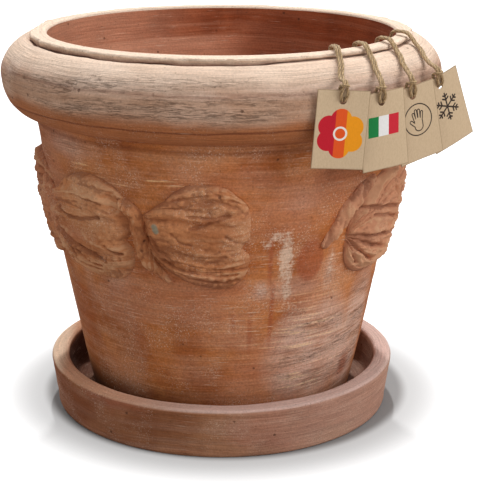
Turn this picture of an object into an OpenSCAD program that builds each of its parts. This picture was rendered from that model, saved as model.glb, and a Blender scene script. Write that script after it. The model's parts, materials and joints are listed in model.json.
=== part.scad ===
// Hand-thrown terracotta flower pot with a rolled rim, two pressed leaf festoons,
// a loose saucer and four kraft swing tags on jute twine.
// Millimetres, +Z up. The origin is on the floor under the middle of the saucer,
// and the side that carries the tags faces -Y. An azimuth of 0 is -Y, and 90 is +X.

/* [Saucer] */
// Thickness of the saucer's floor, on which the pot stands
saucer_floor = 12; // [8:0.5:18]
// Height of the saucer
saucer_h = 47; // [38:1:60]
// Gap between the pot's foot and the saucer's wall, at the floor
saucer_gap = 21; // [12:1:30]
// How far the inside of the wall leans outwards up to the rim
saucer_flare = 4; // [0:0.5:8]
// Width of the saucer's wall at its rim
saucer_wall = 16.5; // [10:0.5:22]
// How far the outside of the wall leans inwards down to the floor
saucer_lean = 7; // [2:0.5:12]
// Radius of the rounded lower edge
saucer_edge = 9; // [4:0.5:14]
// Radius of the rounding between the saucer's floor and wall
saucer_fillet = 7; // [3:0.5:10]
// Radius of the rounding on the saucer's rim
saucer_rim_round = 3; // [1:0.5:6]

/* [Pot wall] */
// Outer radius of the pot's foot
foot_r = 122; // [110:1:135]
// Outer radius of the wall where it meets the underside of the roll
neck_r = 170.5; // [160:0.5:178]
// Height of the pot from its foot to the top of the lip
pot_h = 342; // [310:1:380]
// How far the wall bows out of a straight cone at half its height
wall_bow = 3; // [0:0.5:6]
// Thickness of the wall
wall_t = 18; // [12:0.5:24]
// Thickness of the base
base_t = 18; // [12:0.5:26]
// Radius of the drain hole
drain_r = 12.5; // [8:0.5:16]
// Radius of the rounding between the base and the wall, inside
base_fillet = 10; // [4:1:16]
// Bevel on the outer edge of the foot
foot_bevel = 2; // [0.5:0.5:4]

/* [Rolled rim] */
// Radius of the roll at its widest
rim_r = 200; // [190:1:212]
// How far the widest line lies below the top of the lip
rim_depth = 35.3; // [32:0.1:40]
// Height of the rounding below the widest line
rim_under = 35.7; // [28:0.1:42]
// Roundness of the upper side, where 2 is an ellipse
rim_upper_power = 1.78; // [1.6:0.02:2.6]
// Roundness of the under side, where 2 is an ellipse
rim_lower_power = 2.3; // [1.6:0.1:3]
// Inner radius of the flat lip that is folded over the roll
lip_inner_r = 157.6; // [152:0.2:162]
// Width of the lip
lip_w = 14.4; // [10:0.2:18]
// Thickness of the folded lip
lip_t = 4; // [2.5:0.5:6]
// How far the lip overhangs the crease beneath it
lip_overhang = 1.6; // [0.8:0.2:3]
// How far the roll lies below the underside of the lip, at the crease
lip_crease = 1; // [0.5:0.5:2]
// Radius of the lip's outer edge
lip_outer_round = 2; // [1:0.1:2.4]
// Radius of the lip's inner edge
lip_inner_round = 3; // [1:0.5:6]

/* [Festoons] */
// Height of the middle of the leaves above the pot's foot
leaf_mid = 186.5; // [170:0.5:205]
// Half the height of a leaf
leaf_half = 47.5; // [36:0.5:52]
// How far the leaves stand out of the wall
leaf_relief = 14; // [8:0.5:18]
// Thickness of a leaf along its edge
leaf_edge = 2.5; // [1:0.5:5]
// How deep the leaves and stems are keyed into the wall
relief_key = 1.5; // [1:0.5:4]
// Radius of a stem at its thick end
stem_r = 5; // [3:0.5:7]
// Turn of the second festoon about the pot, in degrees
festoon_turn = 180; // [170:1:190]

/* [Tags] */
// Width of a card
tag_w = 43; // [36:1:48]
// Height of a card
tag_h = 64; // [54:1:70]
// Thickness of a card
tag_t = 0.8; // [0.5:0.1:1.5]
// Radius of a card's hole
tag_hole_r = 3; // [2.8:0.1:3.6]
// Distance from a card's top edge to the middle of its hole
tag_hole_drop = 8.5; // [7:0.5:12]
// Azimuth of each card's hole, in degrees
tag_az = [27.5, 38.5, 48.5, 60]; // [0:0.5:90]
// Azimuth that each card faces, in degrees
tag_face = [10, 24, 28, 32]; // [0:1:90]
// Tilt of each card in its own plane, in degrees, anticlockwise from the front
tag_tilt = [-4, 6.5, 13, 21]; // [-20:0.5:25]
// Distance of each card's back from the roll's widest line, at its hole
tag_stand = [7.5, 6.5, 9, 12]; // [6:0.5:14]
// Height of each hole above the roll's widest line
tag_rise = [2.8, -2.7, -2.2, 0.8]; // [-6:0.1:6]

/* [Twine] */
// Diameter of the doubled twine
twine_d = 4.4; // [3:0.2:4.8]
// Radius of the dab of glue that holds each twine inside the pot
dab_r = 9; // [7:0.5:12]
// How far a dab stands off the inner wall
dab_h = 5.5; // [5:0.5:8]

/* [Hidden] */
pot_top = saucer_floor + pot_h;
rim_mid = pot_top - rim_depth;
neck_z = rim_mid - rim_under;
throat_z = pot_top - lip_inner_round;
lip_r = lip_inner_r + lip_w;
fold_z = pot_top - lip_t;
fold_r = lip_r - lip_overhang;
saucer_in_floor_r = foot_r + saucer_gap;
saucer_in_rim_r = saucer_in_floor_r + saucer_flare;
saucer_r = saucer_in_rim_r + saucer_wall;
saucer_base_r = saucer_r - saucer_lean;
leaf_z = saucer_floor + leaf_mid;
smooth = 128;
rim_steps = 14;
wall_steps = 9;

// Each leaf is a shell that fans out of its root.
// Azimuths of the root and of the tip, in degrees
leaf_az = [[-137, -105.5], [-105, -67], [-66, -28], [-25, 9]];
// Height of each root above the middle of the leaves, as a share of leaf_half
leaf_root_share = [-0.19, 0.19, 0.17, 0.27];
// Angle through which the shell's ribs sweep from root to tip, in degrees
leaf_fan_angle = 125;
// Grooves across a leaf: place from the lower edge (-1) to the upper (1), depth as a share
// of leaf_relief, half width
leaf_groove_shares = [
    [-0.82, 0.18, 0.07], [-0.64, 0.21, 0.07], [-0.44, 0.21, 0.08],
    [0.27, 0.36, 0.07], [0.5, 0.21, 0.07], [0.72, 0.18, 0.07]];
// Place and half width of the notch in the tip
leaf_notch_shares = [-0.15, 0.12];
// Depth of the notch, in degrees
leaf_notch_angle = 2.4;
// How far the tip's corners are drawn back, in degrees
leaf_corner_angle = 5;
// Lines across a leaf: one on each groove and one on each rib
leaf_across_shares = [
    -1, -0.91, -0.82, -0.73, -0.64, -0.54, -0.44, -0.3, -0.15, 0,
    0.15, 0.27, 0.38, 0.5, 0.61, 0.72, 0.86, 1];
leaf_along_shares = [0.05, 0.13, 0.22, 0.33, 0.45, 0.58, 0.7, 0.81, 0.9, 0.96, 1];

// Stems run beside the leaves: azimuth, height from the leaves' middle as a share of
// leaf_half, and thickness as a share of stem_r
stem_tail_az = [
    [-146.5, -0.32, 0.5], [-143.5, -0.08, 0.75], [-140, 0.19, 0.9], [-138, 0.38, 1],
    [-134, 0.59, 1], [-130, 0.76, 0.85], [-126.5, 0.86, 0.5]];
stem_link_az = [
    [-6.5, 0.63, 0.6], [-3, 0.51, 0.9], [-0.5, 0.29, 1], [0, 0.08, 1],
    [0.5, -0.21, 1], [2.5, -0.46, 0.85], [6, -0.69, 0.6], [10, -0.86, 0.35]];
// Azimuth at which each link hangs
stem_az = [-106, -67, -25.5];
// How far a stem's middle stands out of the wall, as a share of its radius
stem_rise_share = 0.25;

// The twine's route. First from the hollow's wall and the lip's top: distance outwards,
// height, share of the sideways run from the glue dab to the card
twine_lip = [
    [-2.8, -30, 0], [-2.7, -20, 0.03], [-2.8, -10, 0.06], [-2.9, -3.5, 0.09], [-2, 0.2, 0.12],
    [0.5, 2.4, 0.15], [4.5, 2.8, 0.2], [12.5, 2.9, 0.34], [16.8, 1.2, 0.43]];
// Then from the roll's widest line, in the same terms
twine_roll = [[-18.8, 30.4, 0.53], [-12.4, 26.6, 0.65], [-7, 22, 0.78], [-1, 18.5, 0.88]];
// Then from the middle of the card's hole: outwards from the card's back, and upwards
twine_hitch = [[3.8, 13], [3.8, 8.5], [3.8, 5], [3.7, 2.6], [2.9, 0.8], [1.2, 0], [-2.5, 0]];
// How deep the flat back of a dab is pressed into the hollow wall
dab_seat = 0.3;
// Azimuth of each glue dab
dab_az = [36.5, 46.5, 60, 76];

// Points on a quarter of a superellipse from angle 0 to 90, with half axes a and b
function quarter(a, b, power, steps) =
    [for (i = [0 : steps])
        let (t = 90 * i / steps)
        [a * pow(cos(t), 2 / power), b * pow(sin(t), 2 / power)]];

// Points on an arc about a centre
function arc(centre, r, from, to, steps) =
    [for (i = [0 : steps])
        let (t = from + (to - from) * i / steps)
        [centre[0] + r * cos(t), centre[1] + r * sin(t)]];

// Outer radius of the pot's wall at a height above the floor
function wall_r(z) =
    let (t = (z - saucer_floor) / (neck_z - saucer_floor))
    foot_r + (neck_r - foot_r) * t + wall_bow * 4 * t * (1 - t);

// Radius of the hollow at a height between the neck and the lip
function throat_r(z) =
    mix(neck_r - wall_t, lip_inner_r, min(1, (z - neck_z) / (throat_z - neck_z)));

// A point at an azimuth, a radius and a height
function at(az, r, z) = [r * sin(az), -r * cos(az), z];

function mix(a, b, t) = a + (b - a) * t;

function flat(lists) = [for (list = lists) each list];

// Faces of a closed skin over a grid of rings that each go round once
function ring_faces(rings, sides) = concat(
    [[for (k = [0 : sides - 1]) k]],
    flat([for (i = [0 : rings - 2], k = [0 : sides - 1])
        let (a = i * sides + k, b = i * sides + (k + 1) % sides)
        [[a, a + sides, b + sides], [a, b + sides, b]]]),
    [[for (k = [sides - 1 : -1 : 0]) (rings - 1) * sides + k]]);

// Direction of a route at one of its points
function heading(route, i) =
    let (
        before = route[max(i - 1, 0)],
        after = route[min(i + 1, len(route) - 1)])
    (after - before) / norm(after - before);

// A tube along a route. Each point has a radius and a direction that its rings keep to.
module tube(route, radii, guides, sides) {
    points = flat([for (i = [0 : len(route) - 1])
        let (
            along = heading(route, i),
            level = guides[i] - (guides[i] * along) * along,
            side = level / norm(level),
            up = cross(side, along))
        [for (k = [0 : sides - 1])
            let (t = 360 * (k + 0.5) / sides)
            route[i] + radii[i] * (cos(t) * side + sin(t) * up)]]);
    polyhedron(points, ring_faces(len(route), sides), convexity = 6);
}

// Unit vector round the pot at a point, level and square to its radius
function round_way(p) = [-p[1], p[0], 0] / norm([p[0], p[1]]);

module saucer() {
    outline = concat(
        [[0, 0]],
        arc([saucer_base_r - saucer_edge, saucer_edge], saucer_edge, -90, -12, 8),
        arc([saucer_r - saucer_rim_round, saucer_h - saucer_rim_round],
            saucer_rim_round, 0, 90, 5),
        arc([saucer_in_rim_r + saucer_rim_round, saucer_h - saucer_rim_round],
            saucer_rim_round, 90, 180, 5),
        arc([saucer_in_floor_r - saucer_fillet, saucer_floor + saucer_fillet],
            saucer_fillet, 0, -90, 6),
        [[0, saucer_floor]]);
    color("#97684c")
    rotate_extrude($fn = smooth)
    polygon(outline);
}

// The inside of the pot, from the base to the top of the lip
fillet_z = saucer_floor + base_t + base_fillet;
inner_line = concat(
    arc([wall_r(fillet_z) - wall_t - base_fillet, fillet_z], base_fillet, -90, 0, 5),
    [for (i = [1 : wall_steps])
        let (z = mix(fillet_z, neck_z, i / wall_steps))
        [wall_r(z) - wall_t, z]],
    arc([lip_inner_r + lip_inner_round, throat_z], lip_inner_round, 180, 90, 5));

module pot_body() {
    upper = quarter(rim_r - fold_r, fold_z - lip_crease - rim_mid, rim_upper_power, rim_steps);
    lower = quarter(rim_r - neck_r, rim_under, rim_lower_power, rim_steps);
    outline = concat(
        [[drain_r, saucer_floor], [drain_r, saucer_floor + base_t]],
        inner_line,
        arc([lip_r - lip_outer_round, pot_top - lip_outer_round], lip_outer_round, 90, -60, 6),
        [for (i = [rim_steps : -1 : 0]) [fold_r + upper[i][0], rim_mid + upper[i][1]]],
        [for (i = [1 : rim_steps]) [neck_r + lower[i][0], rim_mid - lower[i][1]]],
        [for (i = [1 : wall_steps])
            let (z = mix(neck_z, saucer_floor + foot_bevel, i / wall_steps))
            [wall_r(z), z]],
        [[wall_r(saucer_floor) - foot_bevel, saucer_floor]]);
    color("#a5694a")
    rotate_extrude($fn = smooth)
    polygon(outline);
}

// Depth that the grooves take out of a leaf, at a place across it
function groove_depth(u) =
    let (cuts = [for (g = leaf_groove_shares) g[1] * exp(-pow((u - g[0]) / g[2], 2))])
    leaf_relief * max(cuts);

// How far a leaf stands out of the wall, across (u) and along (v) the shell
function leaf_rise(u, v) =
    let (
        swell = pow(1 - pow(abs(u), 3), 0.6) * sqrt(1 - pow(v, 8)),
        root = min(1, 0.4 + 2 * v),
        fade = sin(180 * min(1, v * 0.85 + 0.1)))
    leaf_edge + (leaf_relief - leaf_edge) * swell * root
        - groove_depth(u) * fade * min(1, 2 * swell);

// Azimuth, height and rise of a place on a leaf
function leaf_place(i, u, v) =
    let (
        sweep = v * leaf_fan_angle,
        share = (1 - cos(sweep)) / (1 - cos(leaf_fan_angle)),
        spread = pow(sin(sweep), u < 0 ? 0.6 : 0.9),
        notch = exp(-pow((u - leaf_notch_shares[0]) / leaf_notch_shares[1], 2)),
        pull = leaf_notch_angle * notch + leaf_corner_angle * pow(abs(u), 5),
        az = mix(leaf_az[i][0], leaf_az[i][1], share) - pull * pow(share, 5),
        z = leaf_z + leaf_half * (leaf_root_share[i] * pow(1 - share, 1.5) + u * spread))
    [az, z, leaf_rise(u, v)];

// One leaf as a closed skin: its face, its keyed back, and the band between them
module leaf(i) {
    across = len(leaf_across_shares);
    along = len(leaf_along_shares);
    count = across * along;
    places = flat([for (v = leaf_along_shares)
        [for (u = leaf_across_shares) leaf_place(i, u, v)]]);
    face = [for (p = places) at(p[0], wall_r(p[1]) + p[2], p[1])];
    back = [for (p = places) at(p[0], wall_r(p[1]) - relief_key, p[1])];
    cells = [for (j = [0 : along - 2], k = [0 : across - 2]) j * across + k];
    rim = concat(
        [for (k = [0 : across - 1]) k],
        [for (j = [1 : along - 1]) j * across + across - 1],
        [for (k = [across - 2 : -1 : 0]) (along - 1) * across + k],
        [for (j = [along - 2 : -1 : 1]) j * across]);
    faces = concat(
        flat([for (c = cells) [[c, c + 1, c + across + 1], [c, c + across + 1, c + across]]]),
        flat([for (c = cells) [
            [count + c, count + c + across + 1, count + c + 1],
            [count + c, count + c + across, count + c + across + 1]]]),
        flat([for (k = [0 : len(rim) - 1])
            let (a = rim[k], b = rim[(k + 1) % len(rim)])
            [[a, count + a, count + b], [a, count + b, b]]]));
    color("#9c6546")
    polyhedron(concat(face, back), faces, convexity = 6);
}

// A stem: a rolled strip of clay pressed on the wall along its places
module stem(places, turn) {
    route = [for (p = places)
        let (z = leaf_z + leaf_half * p[1])
        at(p[0] + turn, wall_r(z) + stem_rise_share * stem_r * p[2], z)];
    color("#94603f")
    tube(route, [for (p = places) stem_r * p[2]], [for (p = route) [p[0], p[1], 0]], 8);
}

module festoon_stem(i) {
    if (i == 0)
        stem(stem_tail_az, 0);
    else
        stem(stem_link_az, stem_az[i - 1]);
}

// The second festoon's copy of a piece
module turned() {
    rotate([0, 0, festoon_turn])
    children();
}

// Middle of a card's hole, on the card's back
function tag_hole(i) = at(tag_az[i], rim_r + tag_stand[i], rim_mid + tag_rise[i]);

// A point given from the middle of a card's hole: out of the card's back, and up
function tag_point(i, out, up) =
    let (
        face = tag_face[i],
        tilt = tag_tilt[i],
        right = [cos(face), sin(face), 0])
    tag_hole(i) + at(face, out, 0) + up * (cos(tilt) * [0, 0, 1] - sin(tilt) * right);

module tag(i) {
    color("#d0b89a")
    translate(tag_hole(i))
    rotate([0, 0, tag_face[i]])
    rotate([90, 0, 0])
    rotate([0, 0, tag_tilt[i]])
    difference() {
        translate([-tag_w / 2, tag_hole_drop - tag_h, 0])
        cube([tag_w, tag_h, tag_t]);
        translate([0, 0, -1])
        cylinder(r = tag_hole_r, h = tag_t + 2, $fn = 48);
    }
}

// The doubled twine of one tag, from its glue dab over the lip to the card's hole
function twine_route(i) =
    let (start = dab_az[i], end = tag_az[i])
    concat(
        [for (p = twine_lip)
            let (z = pot_top + p[1])
            at(mix(start, end, p[2]), throat_r(z) + p[0], z)],
        [for (p = twine_roll) at(mix(start, end, p[2]), rim_r + p[0], rim_mid + p[1])],
        [for (p = twine_hitch) tag_point(i, p[0], p[1])]);

module tag_twine(i) {
    route = twine_route(i);
    color("#a08a5f")
    tube(route, [for (p = route) twine_d / 2], [for (p = route) round_way(p)], 8);
}

// A dab of glue on the inner wall, round the twine's ends: a cap cut from a ball
module glue_dab(i) {
    z = pot_top + twine_lip[0][1];
    lean = atan((lip_inner_r - (neck_r - wall_t)) / (throat_z - neck_z));
    color("#d8cfb8")
    translate(at(dab_az[i], throat_r(z) + dab_seat, z))
    rotate([0, 0, dab_az[i]])
    rotate([lean - 90, 0, 0])
    intersection() {
        translate([0, 0, dab_h - dab_r])
        sphere(r = dab_r, $fn = 64);
        translate([-dab_r, -dab_r, 0])
        cube([2 * dab_r, 2 * dab_r, dab_h + 1]);
    }
}

saucer();
pot_body();
for (i = [0 : 3]) {
    leaf(i);
    turned() leaf(i);
    festoon_stem(i);
    turned() festoon_stem(i);
    tag(i);
    tag_twine(i);
    glue_dab(i);
}
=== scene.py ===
import json
import math
import bpy
from mathutils import Matrix, Vector, noise
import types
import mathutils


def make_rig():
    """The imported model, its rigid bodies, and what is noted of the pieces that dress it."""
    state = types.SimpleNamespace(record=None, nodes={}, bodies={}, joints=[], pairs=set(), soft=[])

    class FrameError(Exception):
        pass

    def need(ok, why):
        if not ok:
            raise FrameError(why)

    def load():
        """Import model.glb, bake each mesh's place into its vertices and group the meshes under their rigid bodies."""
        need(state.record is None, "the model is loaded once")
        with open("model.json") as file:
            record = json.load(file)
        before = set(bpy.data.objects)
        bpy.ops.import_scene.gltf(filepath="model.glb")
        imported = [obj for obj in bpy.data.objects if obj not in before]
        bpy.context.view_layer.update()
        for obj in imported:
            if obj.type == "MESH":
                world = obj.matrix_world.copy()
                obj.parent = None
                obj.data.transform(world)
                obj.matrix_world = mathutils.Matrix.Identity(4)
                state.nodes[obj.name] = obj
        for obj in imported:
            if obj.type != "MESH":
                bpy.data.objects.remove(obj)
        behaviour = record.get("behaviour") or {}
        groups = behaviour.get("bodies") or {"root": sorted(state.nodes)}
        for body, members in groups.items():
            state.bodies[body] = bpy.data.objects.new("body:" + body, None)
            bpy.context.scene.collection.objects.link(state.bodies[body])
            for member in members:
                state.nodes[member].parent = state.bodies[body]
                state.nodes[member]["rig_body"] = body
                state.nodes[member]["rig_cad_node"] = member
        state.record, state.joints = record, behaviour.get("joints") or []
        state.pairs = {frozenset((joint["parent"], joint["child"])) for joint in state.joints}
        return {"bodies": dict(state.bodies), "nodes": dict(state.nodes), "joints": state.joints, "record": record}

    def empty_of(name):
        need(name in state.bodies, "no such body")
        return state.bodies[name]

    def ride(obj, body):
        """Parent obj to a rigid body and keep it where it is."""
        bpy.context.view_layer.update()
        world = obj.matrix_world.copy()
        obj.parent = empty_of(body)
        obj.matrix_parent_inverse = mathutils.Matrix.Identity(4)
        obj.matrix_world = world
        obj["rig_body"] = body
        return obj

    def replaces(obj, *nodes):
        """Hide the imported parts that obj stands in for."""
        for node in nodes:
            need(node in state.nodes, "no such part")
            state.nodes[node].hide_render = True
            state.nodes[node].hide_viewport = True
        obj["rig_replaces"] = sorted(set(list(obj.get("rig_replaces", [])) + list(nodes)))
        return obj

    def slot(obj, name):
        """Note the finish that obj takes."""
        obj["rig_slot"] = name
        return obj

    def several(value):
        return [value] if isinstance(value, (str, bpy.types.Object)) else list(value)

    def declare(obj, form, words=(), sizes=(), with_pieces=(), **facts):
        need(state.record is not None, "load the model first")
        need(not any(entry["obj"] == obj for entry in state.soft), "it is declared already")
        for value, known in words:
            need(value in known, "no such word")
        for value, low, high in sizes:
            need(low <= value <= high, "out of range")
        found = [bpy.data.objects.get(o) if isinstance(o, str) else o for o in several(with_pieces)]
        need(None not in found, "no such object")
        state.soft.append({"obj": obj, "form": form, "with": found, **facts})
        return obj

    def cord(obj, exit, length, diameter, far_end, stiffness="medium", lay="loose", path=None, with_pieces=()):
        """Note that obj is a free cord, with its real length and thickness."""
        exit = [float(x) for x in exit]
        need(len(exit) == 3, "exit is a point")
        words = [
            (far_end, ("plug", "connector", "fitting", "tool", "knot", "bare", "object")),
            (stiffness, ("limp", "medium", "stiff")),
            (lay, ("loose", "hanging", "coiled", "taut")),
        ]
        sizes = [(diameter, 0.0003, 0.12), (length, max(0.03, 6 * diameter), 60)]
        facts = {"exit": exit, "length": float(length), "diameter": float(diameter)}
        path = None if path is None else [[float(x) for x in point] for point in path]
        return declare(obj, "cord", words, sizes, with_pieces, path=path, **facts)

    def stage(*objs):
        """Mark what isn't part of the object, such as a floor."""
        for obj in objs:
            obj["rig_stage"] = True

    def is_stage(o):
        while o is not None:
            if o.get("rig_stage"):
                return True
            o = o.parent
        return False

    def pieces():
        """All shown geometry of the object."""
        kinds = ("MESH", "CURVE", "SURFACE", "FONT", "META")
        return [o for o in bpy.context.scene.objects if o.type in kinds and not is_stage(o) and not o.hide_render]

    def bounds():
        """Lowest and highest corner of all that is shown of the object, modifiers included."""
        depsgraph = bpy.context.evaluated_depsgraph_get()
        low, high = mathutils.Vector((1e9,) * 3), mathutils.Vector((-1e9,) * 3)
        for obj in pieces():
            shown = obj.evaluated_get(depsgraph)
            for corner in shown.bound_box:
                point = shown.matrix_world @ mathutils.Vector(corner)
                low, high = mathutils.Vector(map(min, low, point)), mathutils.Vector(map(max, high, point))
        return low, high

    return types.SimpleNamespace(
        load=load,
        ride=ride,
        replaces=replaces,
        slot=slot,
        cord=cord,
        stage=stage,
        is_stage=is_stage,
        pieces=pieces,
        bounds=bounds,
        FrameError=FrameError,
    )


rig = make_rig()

# A hand-thrown terracotta pot with leaf festoons, its saucer and four swing tags.
# Sizes are in millimetres and angles in degrees; azimuth 0 is the front and 90 the right.
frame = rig.load()
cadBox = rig.bounds()
mm = 0.001
weld = 0.00001  # points closer than this are one
up = Vector((0, 0, 1))
print("frame loaded,", len(frame["nodes"]), "CAD pieces")

# ---- camera, lamps and floor

view = {"place": (0, -1.276, 0.532), "pitch": 16.73, "lens": 105.17, "shift": 0.0385}
light = {
    "sunTurn": 182, "sunHeight": 55.5, "sunSoftness": 2.5, "sunPower": 1.9,
    # place, size and power of the side, fill and top lamps
    "lamps": [((1.8, -1.15, 1.3), 1.3, 24), ((-0.6, -2.0, 1.5), 1.4, 6.6),
              ((-0.1, 0.3, 2.2), 1.5, 13.5)],
    "sky": 0.4, "floorSeen": (0.32, 0.32, 0.32), "floorBounce": (0.4, 0.35, 0.31),
    # middle and ramps of the floor's glow to the camera, which leave a painted shadow ring round the saucer
    "glowMiddle": (0.004, 0.015, 0), "glows": [(0.168, 0.181, 0.38), (0.177, 0.252, 0.75)],
    "floorSize": 16}


def aimed(place, target):
    return (Vector(target) - Vector(place)).to_track_quat("-Z", "Y").to_euler()


bpy.ops.object.camera_add(location=view["place"], rotation=(math.radians(90 - view["pitch"]), 0, 0))
camera = bpy.context.object
camera.data.sensor_fit = "HORIZONTAL"
camera.data.lens = view["lens"]
camera.data.shift_x = view["shift"]
bpy.context.scene.camera = camera
bpy.context.scene.view_settings.view_transform = "Standard"

sunTurn, sunHeight = math.radians(light["sunTurn"]), math.radians(light["sunHeight"])
sunPlace = (2 * math.cos(sunHeight) * math.sin(sunTurn), -2 * math.cos(sunHeight) * math.cos(sunTurn),
            2 * math.sin(sunHeight))
bpy.ops.object.light_add(type="SUN", location=sunPlace, rotation=aimed(sunPlace, (0, 0, 0)))
bpy.context.object.data.energy = light["sunPower"]
bpy.context.object.data.angle = math.radians(light["sunSoftness"])
for place, size, power in light["lamps"]:
    bpy.ops.object.light_add(type="AREA", location=place, rotation=aimed(place, (0, 0, 0.2)))
    bpy.context.object.data.energy = power
    bpy.context.object.data.size = size


# ---- small helpers for shader nodes

def colour(tone):
    # a socket takes a colour as shares of light; the tables hold it as red, green and blue to 255
    def linear(value):
        value /= 255
        return value / 12.92 if value <= 0.04045 else ((value + 0.055) / 1.055) ** 2.4
    return (*map(linear, tone), 1) if isinstance(tone, tuple) and len(tone) == 3 else tone


def begin(newTree):
    # the helpers below add their nodes to the tree that was begun last
    global tree
    tree = newTree
    return newTree


def put(kind, sockets=None, **options):
    made = tree.nodes.new("ShaderNode" + kind)
    for option, value in options.items():
        setattr(made, option, value)
    for socket, value in (sockets or {}).items():
        if isinstance(value, bpy.types.NodeSocket):
            tree.links.new(value, made.inputs[socket])
        else:
            made.inputs[socket].default_value = value
    return made


def maths(operation, *values, clamp=False):
    return put("Math", dict(enumerate(values)), operation=operation, use_clamp=clamp).outputs[0]


def times(first, second):
    return maths("MULTIPLY", first, second)


def plus(first, second, clamp=False):
    return maths("ADD", first, second, clamp=clamp)


def minus(first, second):
    return maths("SUBTRACT", first, second)


def gapTo(value, middle):
    return maths("ABSOLUTE", minus(value, middle))


def vectors(operation, *values):
    made = put("VectorMath", dict(enumerate(values)), operation=operation).outputs
    return made["Value" if operation in ("DISTANCE", "LENGTH", "DOT_PRODUCT") else "Vector"]


def parts(vector):
    return put("SeparateXYZ", {0: vector}).outputs


def mixed(factor, first, second, blend="MIX"):
    return put("Mix", {0: factor, 6: colour(first), 7: colour(second)}, data_type="RGBA",
               blend_type=blend).outputs[2]


def shaded(tone, amount):
    return mixed(1.0, tone, amount, "MULTIPLY")


def ranged(value, low, high, toLow=0.0, toHigh=1.0):
    return put("MapRange", {0: value, 1: low, 2: high, 3: toLow, 4: toHigh},
               interpolation_type="SMOOTHSTEP").outputs[0]


def clouds(vector, scale, detail=3.0, roughness=0.55):
    return put("TexNoise", {"Vector": vector, "Scale": scale, "Detail": detail,
                            "Roughness": roughness}).outputs[0]


def streaky(vector, scales, detail=3, roughness=0.55):
    # clouds stretched by their scale along each axis
    return clouds(vectors("MULTIPLY", vector, scales), 1, detail, roughness)


def painted(layer):
    return put("Attribute", attribute_name=layer).outputs["Fac"]


def objectPlace():
    return put("TexCoord").outputs["Object"]


def newGroup(name, inputs, outputs):
    group = begin(bpy.data.node_groups.new(name, "ShaderNodeTree"))
    for label, kind in inputs:
        group.interface.new_socket(label, in_out="INPUT", socket_type="NodeSocket" + kind)
    for label in outputs:
        group.interface.new_socket(label, in_out="OUTPUT", socket_type="NodeSocketFloat")
    return group, group.nodes.new("NodeGroupInput").outputs, group.nodes.new("NodeGroupOutput").inputs


def groupNode(group, **sockets):
    return put("Group", sockets, node_tree=group).outputs


def newMaterial(name, roughness, specular, sheen=0.0):
    material = bpy.data.materials.new(name)
    material.use_nodes = True
    shader = begin(material.node_tree).nodes["Principled BSDF"]
    shader.inputs["Roughness"].default_value = roughness
    shader.inputs["Specular IOR Level"].default_value = specular
    shader.inputs["Sheen Weight"].default_value = sheen
    return material, shader


def finished(shader, tone, height, distance):
    tree.links.new(tone, shader.inputs["Base Color"])
    bump = put("Bump", {"Height": height, "Distance": distance, "Strength": 1.0})
    tree.links.new(bump.outputs[0], shader.inputs["Normal"])


# ---- floor and sky: white to the camera; the floor keeps the shadow, and its glow is lower round the saucer, a painted shadow ring

bpy.ops.mesh.primitive_plane_add(size=light["floorSize"])
floor = bpy.context.object
floor.name = "floor"
floorPaint = bpy.data.materials.new("floorPaint")
floorPaint.use_nodes = True
begin(floorPaint.node_tree)
tree.nodes.remove(tree.nodes["Principled BSDF"])
rays = put("LightPath").outputs
paper = mixed(rays["Is Camera Ray"], (*light["floorBounce"], 1), (*light["floorSeen"], 1))
matt = put("BsdfDiffuse", {"Color": paper})
glow = put("Emission", {"Color": (1, 1, 1, 1)})
# the glow is lower near the saucer: a painted shadow ring over the real shadow
away = vectors("DISTANCE", objectPlace(), light["glowMiddle"])
near, far = [ranged(away, start, end, 0.0, power) for start, end, power in light["glows"]]
haze = times(rays["Is Camera Ray"], plus(near, far))
tree.links.new(haze, glow.inputs["Strength"])
both = put("AddShader", {0: matt.outputs[0], 1: glow.outputs[0]})
tree.links.new(both.outputs[0], tree.nodes["Material Output"].inputs["Surface"])
floor.data.materials.append(floorPaint)
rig.stage(floor)

sky = bpy.data.worlds.new("studioSky")
bpy.context.scene.world = sky
sky.use_nodes = True
begin(sky.node_tree)
rays = put("LightPath").outputs
seen = maths("MAXIMUM", maths("MAXIMUM", rays["Is Camera Ray"], rays["Is Glossy Ray"]),
             rays["Is Transmission Ray"])
strength = put("MapRange", {0: seen, 3: light["sky"], 4: 1.0}).outputs[0]
tree.nodes["Background"].inputs["Color"].default_value = (1, 1, 1, 1)
tree.links.new(strength, tree.nodes["Background"].inputs["Strength"])
print("camera, lamps and floor set")


# ---- modelling helpers

def at(azimuth, radius, height):
    turn = math.radians(azimuth)
    return Vector((radius * math.sin(turn), -radius * math.cos(turn), height)) * mm


def blended(first, second, share):
    return first + (second - first) * share


def smoothStep(low, high, value):
    share = min(1, max(0, (value - low) / (high - low)))
    return share * share * (3 - 2 * share)


def polar(place):
    return (math.degrees(math.atan2(place.x, -place.y)), math.hypot(place.x, place.y) / mm,
            place.z / mm)


def flattened(place, factor):
    # makes a hum run level round the pot
    return Vector((place.x, place.y, place.z * factor))


def hum(place, size, lift=0.0):
    return noise.noise(place / (size * mm) + Vector((0, 0, lift)))


def clearSelection():
    if bpy.context.object and bpy.context.object.mode != "OBJECT":
        bpy.ops.object.mode_set(mode="OBJECT")
    bpy.ops.object.select_all(action="DESELECT")


def onlySelect(piece):
    clearSelection()
    piece.select_set(True)
    bpy.context.view_layer.objects.active = piece


def added(name):
    # the primitive that was just added
    piece = bpy.context.object
    piece.name = name
    return piece


def editAll():
    bpy.ops.object.mode_set(mode="EDIT")
    bpy.ops.mesh.select_all(action="SELECT")


def thicken(amount):
    editAll()
    bpy.ops.mesh.extrude_region_move(TRANSFORM_OT_translate={"value": (0, 0, amount)})


def closeUp(piece):
    onlySelect(piece)
    editAll()
    bpy.ops.mesh.remove_doubles(threshold=weld)
    bpy.ops.mesh.normals_make_consistent(inside=False)
    bpy.ops.object.mode_set(mode="OBJECT")


def changed(piece, kind, **settings):
    onlySelect(piece)
    modifier = piece.modifiers.new(kind, kind)
    for setting, value in settings.items():
        setattr(modifier, setting, value)
    bpy.ops.object.modifier_apply(modifier=kind)


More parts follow.
